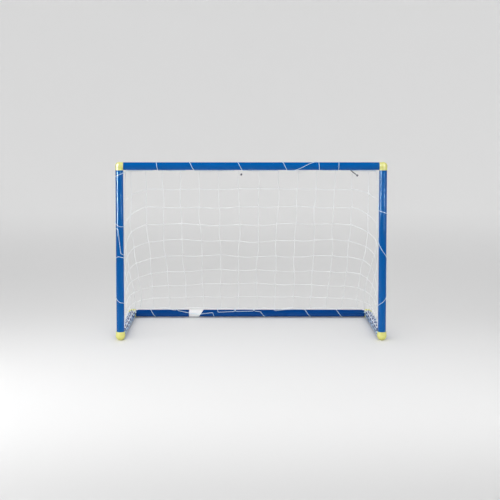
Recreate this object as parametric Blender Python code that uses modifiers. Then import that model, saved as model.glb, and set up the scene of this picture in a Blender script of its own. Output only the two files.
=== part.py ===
"""A small free-standing soccer goal: six hollow plastic tubes pushed on to six corner elbows, with a net
laced to every tube by a thin cord.

Metres, +Z up. The mouth faces -Y and the rear tube lies at +Y. The origin is on the ground, at the middle
of the footprint.
"""

import math

import bmesh
import bpy
import numpy as np
from mathutils import Matrix, Vector

# Driving dimensions of the frame.
WIDTH = 1.200  # over the ground elbows
DEPTH = 0.560  # over the ground elbows
HEIGHT = 0.790  # to the top of the upper elbows
TUBE_RADIUS = 0.01725
TUBE_WALL = 0.0020
GROUND_ELBOW_RADIUS = 0.0206
TOP_ELBOW_RADIUS = 0.0180
ELBOW_REACH = 0.0176  # from an elbow's corner point to the shoulder that the tube meets
COLLAR_STEP = 0.0005  # the collars of an elbow are this much slimmer than its ball
FOOT_FLAT = 0.0003  # planed off the underside of each ground elbow
SPIGOT_LENGTH = 0.038  # the plug beyond the shoulder
SPIGOT_DRAFT = 0.0004  # how much slimmer its tip is
SPIGOT_WALL = 0.0028
FIT_GAP = 0.0003
ROUND = 32  # sides of a round piece

# The net.
NET_THICKNESS = 0.0015
NET_BEHIND_BAR = 0.028  # from the crossbar's axis back to the net's top edge
NET_BELOW_BAR = 0.017
NET_OVER_GROUND_TUBES = 0.0245  # from their axis up to the net's lower edge
NET_INSIDE_TUBES = 0.0150  # from a tube's axis in to the net's edge
NET_SAG = 0.045  # how far the slack brings the back net forward, at half height
NET_SEAM = 0.004  # left open between the back net and each side net
CORNER_FULL = 0.97  # share of a square corner that the net fills beside the tubes
CORNER_SLACK = 0.80  # and at half height, where it hangs free
BACK_COLUMNS, SIDE_COLUMNS, NET_ROWS = 14, 5, 10

# The lacing cord.
CORD_RADIUS = 0.0010
STEPS_PER_TURN = 12
LONGEST_STEP = 0.060

# The dark toggles clipped to the net's top row, and the label on the rear tube.
TOGGLE_BALL_RADIUS = 0.0040
TOGGLE_STEM_RADIUS = 0.0019
TOGGLE_RING_RADIUS = 0.0036
TOGGLE_RING_WIRE = 0.0012
TOGGLE_SIDES = 12
LABEL_THICKNESS = 0.0006
LABEL_HALF_ARC = 110  # degrees either way from the front of the tube
LABEL_LEFT, LABEL_RIGHT_TOP, LABEL_RIGHT_BOTTOM = -0.300, -0.229, -0.254
CORD_OVER_LABEL = 0.0013

# Places that follow from them.
POST_X = WIDTH / 2 - GROUND_ELBOW_RADIUS
REAR_Y = DEPTH / 2 - GROUND_ELBOW_RADIUS
FRONT_Y = -REAR_Y
GROUND_Z = GROUND_ELBOW_RADIUS - FOOT_FLAT
TOP_Z = HEIGHT - TOP_ELBOW_RADIUS
X, Y, Z = Vector((1, 0, 0)), Vector((0, 1, 0)), Vector((0, 0, 1))
CENTRE_TOGGLE_RING = (-0.0445, FRONT_Y + 0.0270, 0.7400)
CENTRE_TOGGLE_BALL = (-0.0445, FRONT_Y - 0.0050, 0.7330)
RIGHT_TOGGLE_RING = (0.4420, FRONT_Y + 0.0240, 0.7500)
RIGHT_TOGGLE_BALL = (0.4660, FRONT_Y, 0.7310)


def new_collection(name):
    made = bpy.data.collections.new(name)
    bpy.context.scene.collection.children.link(made)
    return made


def plastic(name, srgb, roughness):
    """A Principled material from an 8-bit sRGB colour."""
    linear = [((c / 255 + 0.055) / 1.055) ** 2.4 if c > 10 else c / 255 / 12.92 for c in srgb]
    made = bpy.data.materials.new(name)
    made.use_nodes = True
    shader = made.node_tree.nodes["Principled BSDF"]
    shader.inputs["Base Color"].default_value = (*linear, 1)
    shader.inputs["Roughness"].default_value = roughness
    shader.inputs["Metallic"].default_value = 0.0
    return made


def place(name, data, finish, matrix=None):
    """A named object in the goal's collection, with its own material."""
    made = bpy.data.objects.new(name, data)
    made.matrix_world = matrix or Matrix.Identity(4)
    if finish:
        data.materials.clear()
        data.materials.append(finish)
    goal.objects.link(made)
    return made


def helper(name, fill):
    """A hidden mesh object for the Booleans, filled by fill(bmesh)."""
    mesh = bpy.data.meshes.new(name)
    shape = bmesh.new()
    fill(shape)
    shape.to_mesh(mesh)
    shape.free()
    made = bpy.data.objects.new(name, mesh)
    made.hide_render = True
    made.display_type = "WIRE"
    cutters.objects.link(made)
    return made


def rod(name, start, end, radius, end_radius=None, sides=ROUND):
    """A helper cylinder, or a slightly tapered one, from start to end."""
    run = Vector(end) - Vector(start)

    def fill(shape):
        made = bmesh.ops.create_cone(
            shape,
            cap_ends=True,
            segments=sides,
            radius1=radius,
            radius2=radius if end_radius is None else end_radius,
            depth=run.length,
        )
        turn = run.to_track_quat("Z", "Y").to_matrix().to_4x4()
        middle = Matrix.Translation((Vector(start) + Vector(end)) / 2)
        bmesh.ops.transform(shape, matrix=middle @ turn, verts=made["verts"])

    return helper(name, fill)


def ball(name, centre, radius, sides=ROUND):
    def fill(shape):
        bmesh.ops.create_uvsphere(
            shape, u_segments=sides, v_segments=sides // 2, radius=radius, matrix=Matrix.Translation(centre)
        )

    return helper(name, fill)


def ring(name, centre, axis, radius, wire_radius, sides=16):
    """A helper torus: a small circle carried round a big one."""

    def fill(shape):
        bmesh.ops.create_circle(
            shape,
            segments=8,
            radius=wire_radius,
            matrix=Matrix.Translation((radius, 0, 0)) @ Matrix.Rotation(math.pi / 2, 4, "X"),
        )
        bmesh.ops.spin(
            shape,
            geom=shape.verts[:] + shape.edges[:],
            axis=(0, 0, 1),
            cent=(0, 0, 0),
            angle=math.tau,
            steps=sides,
            use_merge=True,
        )
        bmesh.ops.remove_doubles(shape, verts=shape.verts[:], dist=1e-6)
        bmesh.ops.recalc_face_normals(shape, faces=shape.faces[:])
        turn = Vector(axis).to_track_quat("Z", "Y").to_matrix().to_4x4()
        bmesh.ops.transform(shape, matrix=Matrix.Translation(centre) @ turn, verts=shape.verts[:])

    return helper(name, fill)


def block(name, low, high):
    """A helper box between two corners."""
    low, high = Vector(low), Vector(high)
    size = Matrix.Diagonal((*(high - low), 1))

    def fill(shape):
        bmesh.ops.create_cube(shape, size=1, matrix=Matrix.Translation((low + high) / 2) @ size)

    return helper(name, fill)


def combine(target, operation, tools):
    for tool in tools:
        step = target.modifiers.new(f"{operation.lower()} {tool.name}", "BOOLEAN")
        step.operation = operation
        step.object = tool


def realised(target):
    """The object's mesh with its modifiers carried out, and smooth shading between its sharp edges."""
    bpy.context.view_layer.update()
    graph = bpy.context.evaluated_depsgraph_get()
    mesh = bpy.data.meshes.new_from_object(target.evaluated_get(graph))
    mesh.shade_smooth()
    mesh.set_sharp_from_angle(angle=math.radians(35))
    return mesh


def elbow_mesh(name, radius):
    """An elbow with its corner point at the origin and its legs along +Z and +Y: a ball, a collar on each
    leg cut square to a shoulder, and a hollow drafted spigot beyond each shoulder."""
    body = ball(f"{name} ball", (0, 0, 0), radius)
    collar = radius - COLLAR_STEP
    plug = TUBE_RADIUS - TUBE_WALL - FIT_GAP
    tip = ELBOW_REACH + SPIGOT_LENGTH
    beyond = 2 * radius
    collars, spigots, bores = [], [], []
    for leg, axis in (("z", Z), ("y", Y)):
        collars.append(rod(f"{name} collar {leg}", axis * 0.001, axis * radius, collar))
        spigots.append(rod(f"{name} spigot {leg}", axis * 0.002, axis * tip, plug, plug - SPIGOT_DRAFT))
        bores.append(rod(f"{name} bore {leg}", axis * beyond / 2, axis * (tip + 0.01), plug - SPIGOT_WALL))
    shoulders = [
        block(f"{name} shoulder z", (-beyond, -beyond, ELBOW_REACH), (beyond, beyond, beyond)),
        block(f"{name} shoulder y", (-beyond, ELBOW_REACH, -beyond), (beyond, beyond, beyond)),
    ]
    combine(body, "UNION", collars)
    combine(body, "DIFFERENCE", shoulders)
    combine(body, "UNION", spigots)
    combine(body, "DIFFERENCE", bores)
    return realised(body)


def elbow(name, mesh, corner, z_leg, y_leg, finish):
    """An elbow placed at a corner of the frame, with its two legs along the given directions."""
    turn = Matrix((y_leg.cross(z_leg), y_leg, z_leg)).transposed().to_4x4()
    return place(name, mesh.copy(), finish, Matrix.Translation(corner) @ turn)


def tube(name, start, end, finish):
    """A hollow tube between two corner points of the frame, with a small gap to each elbow's shoulder."""
    run = (end - start).normalized()
    inset = ELBOW_REACH + FIT_GAP
    length = (end - start).length - 2 * inset
    mesh = bpy.data.meshes.new(name)
    shape = bmesh.new()
    bmesh.ops.create_cone(
        shape, cap_ends=False, segments=ROUND, radius1=TUBE_RADIUS, radius2=TUBE_RADIUS, depth=length
    )
    shape.to_mesh(mesh)
    shape.free()
    mesh.shade_smooth()
    turn = run.to_track_quat("Z", "Y").to_matrix().to_4x4()
    made = place(name, mesh, finish, Matrix.Translation((start + end) / 2) @ turn)
    wall = made.modifiers.new("wall", "SOLIDIFY")
    wall.thickness = TUBE_WALL
    wall.offset = -1
    return made


# The net hangs as one surface. Row v runs from 0 at the crossbar to 1 at the ground tubes. Seen from above,
# each row is half of a superellipse: full and square beside the tubes, slack and rounded at half height.
def net_height(v):
    top, bottom = TOP_Z - NET_BELOW_BAR, GROUND_Z + NET_OVER_GROUND_TUBES
    return top + (bottom - top) * v


def net_depth(v):
    """How far the middle of row v stands behind the crossbar's axis: a straight slope, less a parabola."""
    last = REAR_Y - FRONT_Y - NET_INSIDE_TUBES
    return NET_BEHIND_BAR + (last - NET_BEHIND_BAR) * v - 4 * NET_SAG * v * (1 - v)


def net_corner(v):
    """The share of the square corner that row v fills, and the superellipse's exponent for it."""
    share = CORNER_SLACK + (CORNER_FULL - CORNER_SLACK) * (2 * v - 1) ** 4
    return share, math.log(0.5) / math.log(share)


def net_half_width():
    return POST_X - NET_INSIDE_TUBES


def sheet(name, rows, finish):
    """A thin closed sheet over a grid of points."""
    grid = np.array(rows)
    down, across = grid.shape[:2]
    index = np.arange(down * across).reshape(down, across)
    quads = np.stack([index[:-1, :-1], index[1:, :-1], index[1:, 1:], index[:-1, 1:]], -1).reshape(-1, 4)
    mesh = bpy.data.meshes.new(name)
    mesh.from_pydata(grid.reshape(-1, 3).tolist(), [], quads.tolist())
    mesh.shade_smooth()
    made = place(name, mesh, finish)
    thicken = made.modifiers.new("thickness", "SOLIDIFY")
    thicken.offset = 0
    return made, thicken


def back_net(finish):
    rows = []
    for v in np.linspace(0, 1, NET_ROWS + 1):
        share, exponent = net_corner(v)
        reach = net_half_width() * share - NET_SEAM / 2
        xs = np.linspace(-reach, reach, BACK_COLUMNS + 1)
        fall = (1 - (np.abs(xs) / net_half_width()) ** exponent) ** (1 / exponent)
        ys = FRONT_Y + net_depth(v) * fall
        rows.append(np.stack([xs, ys, np.full_like(xs, net_height(v))], -1))
    made, thicken = sheet("net_back", rows, finish)
    thicken.thickness = NET_THICKNESS


def side_net(name, side, finish):
    rows = []
    for v in np.linspace(0, 1, NET_ROWS + 1):
        share, exponent = net_corner(v)
        first = TUBE_RADIUS + 2 * CORD_RADIUS + NET_THICKNESS
        last = max(net_depth(v) * share - NET_SEAM / 2, first + NET_SEAM)
        depths = np.linspace(first, last, SIDE_COLUMNS + 1)
        pull = (1 - (depths / net_depth(v)) ** exponent) ** (1 / exponent)
        xs = side * net_half_width() * pull
        rows.append(np.stack([xs, FRONT_Y + depths, np.full_like(xs, net_height(v))], -1))
    made, thicken = sheet(name, rows, finish)
    thicken.thickness = NET_THICKNESS


def cord(name, points, finish):
    """A thin round cord through the given points."""
    data = bpy.data.curves.new(name, "CURVE")
    data.dimensions = "3D"
    data.bevel_depth = CORD_RADIUS
    data.bevel_resolution = 2
    data.use_fill_caps = True
    line = data.splines.new("POLY")
    line.points.add(len(points) - 1)
    for point, place_at in zip(line.points, points):
        point.co = (*place_at, 1)
    return place(name, data, finish)


def wound(start, along, front, quarter, stations):
    """Points of a cord wound on the tube whose axis runs from start along a direction. A station is the
    distance along the tube, the angle in degrees from its front towards the quarter direction, and how
    far the cord is lifted."""
    stride = math.pi / STEPS_PER_TURN
    winding_radius = (TUBE_RADIUS + FIT_GAP + CORD_RADIUS) / math.cos(stride)
    points = []
    for (s0, a0, lift0), (s1, a1, lift1) in zip(stations, stations[1:]):
        turns = abs(a1 - a0) / 360
        steps = max(math.ceil(turns * STEPS_PER_TURN), math.ceil(abs(s1 - s0) / LONGEST_STEP), 1)
        for t in np.arange(steps) / steps:
            points.append((s0 + (s1 - s0) * t, a0 + (a1 - a0) * t, lift0 + (lift1 - lift0) * t))
    points.append(stations[-1])
    made = []
    for distance, angle, lift in points:
        turn = math.radians(angle)
        out = front * math.cos(turn) + quarter * math.sin(turn)
        made.append(start + along * distance + out * (winding_radius + lift))
    return made


def flat_stations(pairs):
    return [(distance, angle, 0.0) for distance, angle in pairs]


# Where the cord lies on each tube: metres along it, and degrees about it from its front, with 90 on top of
# a level tube or at the +X side of a post.
CROSSBAR_LACING = (
    (-0.548, -65),
    (-0.530, -98),
    (-0.430, -98),
    (-0.423, -180),
    (-0.418, -270),
    (-0.409, -450),
    (-0.398, -458),
    (-0.290, -458),
    (-0.282, -540),
    (-0.275, -630),
    (-0.247, -810),
    (-0.238, -818),
    (-0.076, -818),
    (-0.069, -900),
    (-0.063, -990),
    (-0.035, -1170),
    (-0.026, -1174),
    (0.118, -1174),
    (0.127, -1260),
    (0.135, -1350),
    (0.161, -1530),
    (0.170, -1526),
    (0.180, -1524),
    (0.288, -1350),
    (0.294, -1260),
    (0.2995, -1170),
    (0.2955, -990),
    (0.303, -900),
    (0.311, -822),
    (0.374, -822),
    (0.3825, -795),
    (0.384, -645),
    (0.388, -540),
    (0.396, -462),
    (0.545, -455),
)
LEFT_POST_LACING = (
    (0.744, 80),
    (0.735, 0),
    (0.722, -90),
    (0.710, -172),
    (0.545, -172),
    (0.526, -90),
    (0.507, 0),
    (0.505, 90),
    (0.503, 180),
    (0.501, 270),
    (0.496, 342),
    (0.388, 378),
    (0.376, 450),
    (0.371, 540),
    (0.361, 630),
    (0.375, 705),
    (0.365, 810),
    (0.357, 900),
    (0.345, 982),
    (0.207, 982),
    (0.193, 996),
    (0.171, 1080),
    (0.164, 1170),
    (0.157, 1255),
    (0.060, 1255),
)
RIGHT_POST_LACING = (
    (0.738, -172),
    (0.600, -172),
    (0.578, -90),
    (0.571, 0),
    (0.560, 90),
    (0.550, 175),
    (0.464, 175),
    (0.442, 270),
    (0.396, 360),
    (0.360, 446),
    (0.345, 458),
    (0.217, 458),
    (0.199, 444),
    (0.171, 360),
    (0.152, 270),
    (0.137, 185),
    (0.060, 185),
)
REAR_LACING_LEFT = (
    (-0.540, 170),
    (-0.503, 170),
    (-0.495, 90),
    (-0.457, -90),
    (-0.448, -180),
    (-0.428, -262),
    (-0.398, -274),
    (-0.3635, -304),
    (-0.3625, -220),
    (-0.3595, -220),
    (-0.3585, -305),
)
REAR_LACING_RIGHT = (
    (-0.184, -341),
    (-0.1735, -450),
    (-0.168, -540),
    (-0.163, -630),
    (-0.158, -696),
    (-0.0765, -685),
    (-0.076, -580),
    (-0.073, -580),
    (-0.0725, -684),
    (0.0165, -677),
    (0.017, -575),
    (0.020, -575),
    (0.0205, -678),
    (0.050, -688),
    (0.081, -810),
    (0.094, -900),
    (0.108, -990),
    (0.121, -1032),
    (0.181, -1001),
    (0.222, -985),
    (0.260, -990),
    (0.305, -1170),
    (0.314, -1260),
    (0.322, -1315),
    (0.408, -1315),
    (0.415, -1350),
    (0.459, -1530),
    (0.470, -1620),
    (0.540, -1620),
)
SIDE_LACING_HOLD = 152  # degrees from the outer side: on the inner side, towards the top
SIDE_WRAPS, SIDE_WRAP_PITCH, SIDE_WRAP_WIDTH = 6, 0.078, 0.012


def side_lacing():
    """Evenly spaced full turns, with the cord held on the tube's inner side between them."""
    stations = [(-SIDE_WRAPS * SIDE_WRAP_PITCH / 2, SIDE_LACING_HOLD)]
    for wrap in range(SIDE_WRAPS):
        middle = (wrap - (SIDE_WRAPS - 1) / 2) * SIDE_WRAP_PITCH
        held = SIDE_LACING_HOLD + 360 * wrap
        stations.append((middle - SIDE_WRAP_WIDTH / 2, held))
        stations.append((middle + SIDE_WRAP_WIDTH / 2, held + 360))
    stations.append((SIDE_WRAPS * SIDE_WRAP_PITCH / 2, SIDE_LACING_HOLD + 360 * SIDE_WRAPS))
    return flat_stations(stations)


def rear_lacing():
    over_label = [
        (LABEL_LEFT - 0.012, -340, CORD_OVER_LABEL),
        (LABEL_RIGHT_BOTTOM - 0.002, -366, CORD_OVER_LABEL),
        (LABEL_RIGHT_TOP + 0.010, -354, CORD_OVER_LABEL),
    ]
    return flat_stations(REAR_LACING_LEFT) + over_label + flat_stations(REAR_LACING_RIGHT)


def label(finish):
    """A blank wrap round the front of the rear tube, with one end cut on the slant."""
    angles = np.radians(np.linspace(LABEL_HALF_ARC, -LABEL_HALF_ARC, 13))
    radius = TUBE_RADIUS + FIT_GAP + LABEL_THICKNESS / 2
    rows = []
    for angle in angles:
        share = (1 - math.sin(angle)) / 2
        right = LABEL_RIGHT_TOP + (LABEL_RIGHT_BOTTOM - LABEL_RIGHT_TOP) * share
        xs = np.linspace(LABEL_LEFT, right, 3)
        y = REAR_Y - radius * math.cos(angle)
        z = GROUND_Z + radius * math.sin(angle)
        rows.append([(x, y, z) for x in xs])
    made, thicken = sheet("rear_label", rows, finish)
    thicken.thickness = LABEL_THICKNESS


def toggle(name, ring_centre, ball_centre, finish):
    """A ball-ended stem with a small ring at its other end, moulded in one."""
    ring_centre, ball_centre = Vector(ring_centre), Vector(ball_centre)
    run = (ball_centre - ring_centre).normalized()
    body = ball(f"{name} ball", ball_centre, TOGGLE_BALL_RADIUS, TOGGLE_SIDES)
    stem_start = ring_centre + run * TOGGLE_RING_RADIUS
    stem = rod(f"{name} stem", stem_start, ball_centre, TOGGLE_STEM_RADIUS, sides=TOGGLE_SIDES)
    eye = ring(f"{name} eye", ring_centre, run.orthogonal(), TOGGLE_RING_RADIUS, TOGGLE_RING_WIRE)
    combine(body, "UNION", [stem, eye])
    place(name, realised(body), finish)


def frame(blue, yellow):
    """The tubes and the elbows, with the ground elbows planed flat underneath."""
    front_left, front_right = Vector((-POST_X, FRONT_Y, GROUND_Z)), Vector((POST_X, FRONT_Y, GROUND_Z))
    rear_left, rear_right = Vector((-POST_X, REAR_Y, GROUND_Z)), Vector((POST_X, REAR_Y, GROUND_Z))
    top_left, top_right = Vector((-POST_X, FRONT_Y, TOP_Z)), Vector((POST_X, FRONT_Y, TOP_Z))
    tube("crossbar", top_left, top_right, blue)
    tube("left_post", front_left, top_left, blue)
    tube("right_post", front_right, top_right, blue)
    tube("left_side_bar", front_left, rear_left, blue)
    tube("right_side_bar", front_right, rear_right, blue)
    tube("rear_bar", rear_left, rear_right, blue)
    upper = elbow_mesh("upper elbow", TOP_ELBOW_RADIUS)
    lower = elbow_mesh("ground elbow", GROUND_ELBOW_RADIUS)
    elbow("top_left_elbow", upper, top_left, -Z, X, yellow)
    elbow("top_right_elbow", upper, top_right, -Z, -X, yellow)
    standing = [
        elbow("front_left_foot", lower, front_left, Z, Y, yellow),
        elbow("front_right_foot", lower, front_right, Z, Y, yellow),
        elbow("rear_left_elbow", lower, rear_left, X, -Y, yellow),
        elbow("rear_right_elbow", lower, rear_right, -X, -Y, yellow),
    ]

    ground = block("ground", (-WIDTH, -DEPTH, -0.02), (WIDTH, DEPTH, 0))
    for foot in standing:
        combine(foot, "DIFFERENCE", [ground])


def lacing(white):
    """One cord on each tube. Angles start at the front, or at the outer side on the two side tubes."""
    crossbar = Vector((0, FRONT_Y, TOP_Z))
    left, right = Vector((-POST_X, FRONT_Y, 0)), Vector((POST_X, FRONT_Y, 0))
    rear = Vector((0, REAR_Y, GROUND_Z))
    cord("lacing_crossbar", wound(crossbar, X, -Y, Z, flat_stations(CROSSBAR_LACING)), white)
    cord("lacing_left_post", wound(left, Z, -Y, X, flat_stations(LEFT_POST_LACING)), white)
    cord("lacing_right_post", wound(right, Z, -Y, X, flat_stations(RIGHT_POST_LACING)), white)
    cord("lacing_rear_bar", wound(rear, X, -Y, Z, rear_lacing()), white)
    for name, side in (("lacing_left_side_bar", -1), ("lacing_right_side_bar", 1)):
        middle = Vector((side * POST_X, 0, GROUND_Z))
        cord(name, wound(middle, Y, X * side, Z, side_lacing()), white)


for old in list(bpy.data.objects):
    bpy.data.objects.remove(old)
goal = new_collection("soccer_goal")
cutters = new_collection("cutters")
tube_blue = plastic("tube blue", (5, 95, 170), 0.3)
elbow_yellow = plastic("elbow yellow", (236, 232, 110), 0.4)
net_white = plastic("net white", (240, 240, 238), 0.8)
cord_white = plastic("cord white", (245, 245, 245), 0.7)
toggle_dark = plastic("toggle dark", (42, 38, 62), 0.4)
label_white = plastic("label white", (248, 248, 248), 0.5)

frame(tube_blue, elbow_yellow)
back_net(net_white)
side_net("net_left", -1, net_white)
side_net("net_right", 1, net_white)
lacing(cord_white)
toggle("net_toggle_centre", CENTRE_TOGGLE_RING, CENTRE_TOGGLE_BALL, toggle_dark)
toggle("net_toggle_right", RIGHT_TOGGLE_RING, RIGHT_TOGGLE_BALL, toggle_dark)
label(label_white)
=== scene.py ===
"""A small soccer goal of blue plastic tubes and yellow corner elbows, with its laced string net."""

import math

import bpy
import numpy as np
from mathutils import Euler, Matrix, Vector


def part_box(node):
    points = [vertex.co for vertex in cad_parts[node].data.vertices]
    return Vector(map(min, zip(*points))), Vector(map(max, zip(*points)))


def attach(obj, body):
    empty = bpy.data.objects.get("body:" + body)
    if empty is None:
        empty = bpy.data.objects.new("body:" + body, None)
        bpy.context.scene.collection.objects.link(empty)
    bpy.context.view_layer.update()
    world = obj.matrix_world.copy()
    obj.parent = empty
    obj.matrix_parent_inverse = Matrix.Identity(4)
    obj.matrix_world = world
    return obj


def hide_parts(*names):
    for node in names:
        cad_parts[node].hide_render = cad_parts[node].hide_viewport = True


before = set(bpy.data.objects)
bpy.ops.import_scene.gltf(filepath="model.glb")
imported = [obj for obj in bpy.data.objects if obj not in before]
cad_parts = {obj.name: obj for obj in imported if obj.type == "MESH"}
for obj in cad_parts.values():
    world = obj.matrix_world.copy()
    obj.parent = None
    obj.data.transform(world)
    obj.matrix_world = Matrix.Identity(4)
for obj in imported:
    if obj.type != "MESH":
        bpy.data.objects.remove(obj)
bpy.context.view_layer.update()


# ---------------------------------------------------------------- sizes, read from the frame, in metres
def middle(node):
    low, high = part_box(node)
    return (np.array(low) + np.array(high)) / 2


def span(node):
    low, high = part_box(node)
    return np.array(high) - np.array(low)


POST_X = middle("right_post")[0]
FRONT_Y, TOP_Z = middle("crossbar")[1:]
REAR_Y, GROUND_Z = middle("rear_bar")[1:]
TUBE_RADIUS = span("crossbar")[2] / 2
TUBE_WALL = 0.0020
FOOT_RADIUS = span("front_left_foot")[0] / 2
TOP_RADIUS = span("top_left_elbow")[1] / 2
SHOULDER = POST_X - span("crossbar")[0] / 2 - 0.0003
CORD_RADIUS = 0.0011
STRING_RADIUS = 0.0011
EDGE_STRING_RADIUS = 0.0013
RIGHT, BACK, UP = np.eye(3)


# ---------------------------------------------------------------- camera
def stand_camera():
    """A long lens in front of the goal, a little above it and slightly to its left, tipped down."""
    lens = bpy.data.cameras.new("camera")
    lens.sensor_width = 36
    lens.lens = 76.2
    lens.shift_x = 0.018
    lens.shift_y = -0.15
    lens.clip_end = 100
    camera = bpy.data.objects.new("camera", lens)
    camera.location = (-0.045, -4.90, 1.017)
    camera.rotation_euler = Euler((math.radians(90 - 3.5), 0, 0))
    bpy.context.scene.collection.objects.link(camera)
    bpy.context.scene.camera = camera


stand_camera()


# ---------------------------------------------------------------- surfaces
class Skin:
    """Grids of points gathered into one mesh, with a UV map in metres along and in turns around."""

    def __init__(self):
        self.points, self.faces, self.uvs, self.count = [], [], [], 0

    def grid(self, points, along, around, wrap_along=False, wrap_around=True, caps=False):
        """Adds an (m, n) grid of quads. Wrapping joins the last row or column to the first, and caps close
        the two end rings with fans to their mean points."""
        rows, columns = points.shape[:2]
        index = self.count + np.arange(rows * columns).reshape(rows, columns)
        i = np.arange(rows if wrap_along else rows - 1)[:, None]
        j = np.arange(columns if wrap_around else columns - 1)[None, :]
        i2, j2 = (i + 1) % rows, (j + 1) % columns
        quads = np.stack([index[i, j], index[i, j2], index[i2, j2], index[i2, j]], -1)
        u = np.append(around, around[-1] + around[1] - around[0])
        v = np.append(along, along[-1] + along[1] - along[0])
        corners = np.stack(
            [
                np.stack(np.broadcast_arrays(u[j], v[i]), -1),
                np.stack(np.broadcast_arrays(u[j + 1], v[i]), -1),
                np.stack(np.broadcast_arrays(u[j + 1], v[i + 1]), -1),
                np.stack(np.broadcast_arrays(u[j], v[i + 1]), -1),
            ],
            -2,
        )
        self.points.append(points.reshape(-1, 3))
        self.faces.append(quads.reshape(-1, 4))
        self.uvs.append(corners.reshape(-1, 4, 2))
        self.count += rows * columns
        if caps:
            self.fan(index[0][::-1], points[0].mean(0), u, v[0])
            self.fan(index[-1], points[-1].mean(0), u, v[rows - 1])

    def fan(self, ring, pole, around, along):
        """Closes a ring with triangles that meet at a pole."""
        after = np.roll(ring, -1)
        triangles = np.stack([ring, after, np.full_like(ring, self.count)], -1)
        uv = np.stack([around[: len(ring)], np.full(len(ring), along)], -1)
        self.points.append(pole[None, :])
        self.faces.append(triangles)
        self.uvs.append(np.stack([uv, uv, uv], 1))
        self.count += 1

    def piece(self, name, finish):
        """The finished object, at the origin, shaded smooth with its sharp edges kept."""
        mesh = bpy.data.meshes.new(name)
        points = np.concatenate(self.points).astype(np.float32)
        sizes = np.concatenate([np.full(len(f), f.shape[1]) for f in self.faces]).astype(np.int32)
        corners = np.concatenate([f.reshape(-1) for f in self.faces]).astype(np.int32)
        mesh.vertices.add(len(points))
        mesh.vertices.foreach_set("co", points.reshape(-1))
        mesh.loops.add(len(corners))
        mesh.loops.foreach_set("vertex_index", corners)
        mesh.polygons.add(len(sizes))
        mesh.polygons.foreach_set("loop_start", np.concatenate([[0], np.cumsum(sizes)[:-1]]).astype(np.int32))
        layer = mesh.uv_layers.new(name="lay")
        uv = np.concatenate([u.reshape(-1, 2) for u in self.uvs]).astype(np.float32)
        layer.data.foreach_set("uv", uv.reshape(-1))
        mesh.update(calc_edges=True)
        mesh.shade_smooth()
        mesh.set_sharp_from_angle(angle=math.radians(50))
        mesh.materials.append(finish)
        made = bpy.data.objects.new(name, mesh)
        bpy.context.scene.collection.objects.link(made)
        return made


def stands_for(piece, slot, *nodes):
    """The piece belongs to the goal's one body and replaces the given solids. The slot is not used."""
    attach(piece, "root")
    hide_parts(*nodes)
    return piece


def unit(vectors):
    return vectors / np.linalg.norm(vectors, axis=-1, keepdims=True)


def softened(values, width):
    """A running mean over an odd number of samples, twice, with the two ends held where they are."""
    for _ in range(2):
        before, after = np.repeat(values[:1], width // 2, 0), np.repeat(values[-1:], width // 2, 0)
        padded = np.concatenate([before, values, after])
        total = np.cumsum(np.concatenate([np.zeros_like(padded[:1]), padded]), 0)
        values = (total[width:] - total[:-width]) / width
    return values


def carried(skin, path, outward, radius, sides, lobe=0.0, twist=0.006):
    """A round cord carried along a path: ring i stands across the path's tangent at point i, and starts at
    the outward direction. With lobes, its radius swells three times around by a share of itself, and
    the lobes turn once in each twist length, as three strands do. The two ends round off over one
    radius."""
    steps = np.linalg.norm(np.diff(path, axis=0), axis=1)
    along = np.concatenate([[0], np.cumsum(steps)])
    tangent = unit(np.gradient(path, axis=0))
    first = unit(outward - (outward * tangent).sum(-1, keepdims=True) * tangent)
    second = np.cross(tangent, first)
    angle = np.arange(sides) / sides * math.tau
    turn = angle[None, :] - along[:, None] / twist * math.tau
    to_end = np.clip(np.minimum(along, along[-1] - along) / radius, 0, 1)
    end = np.sqrt(np.clip(1 - (1 - to_end) ** 2, 0.05, 1))
    reach = radius * end[:, None] * (1 - lobe * (1 - np.abs(np.cos(1.5 * turn))))
    ring = np.cos(angle)[None, :, None] * first[:, None] + np.sin(angle)[None, :, None] * second[:, None]
    skin.grid(path[:, None] + ring * reach[..., None], along, angle / math.tau, caps=True)


def end_knot(skin, centre, axis, cord_radius):
    """An overhand knot: the trefoil (sin t + 2 sin 2t, cos t - 2 cos 2t, -sin 3t), flattened on its axis."""
    t = np.linspace(0, math.tau, 73)[:-1]
    axis = axis / np.linalg.norm(axis)
    across = unit(np.cross(axis, UP + 0.3 * RIGHT))
    other = np.cross(axis, across)
    size = cord_radius * 0.95
    flat = np.stack([np.sin(t) + 2 * np.sin(2 * t), np.cos(t) - 2 * np.cos(2 * t), -1.1 * np.sin(3 * t)], -1)
    path = centre + size * (flat[:, :1] * across + flat[:, 1:2] * other + flat[:, 2:] * axis)
    tangent = unit(np.roll(path, -1, 0) - np.roll(path, 1, 0))
    outward = path - centre
    first = unit(outward - (outward * tangent).sum(-1, keepdims=True) * tangent)
    second = np.cross(tangent, first)
    angle = np.arange(10) / 10 * math.tau
    ring = np.cos(angle)[None, :, None] * first[:, None] + np.sin(angle)[None, :, None] * second[:, None]
    along = np.arange(len(t)) * size * 4 * math.tau / len(t)
    skin.grid(path[:, None] + ring * cord_radius * 0.8, along, angle / math.tau, wrap_along=True)


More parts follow.
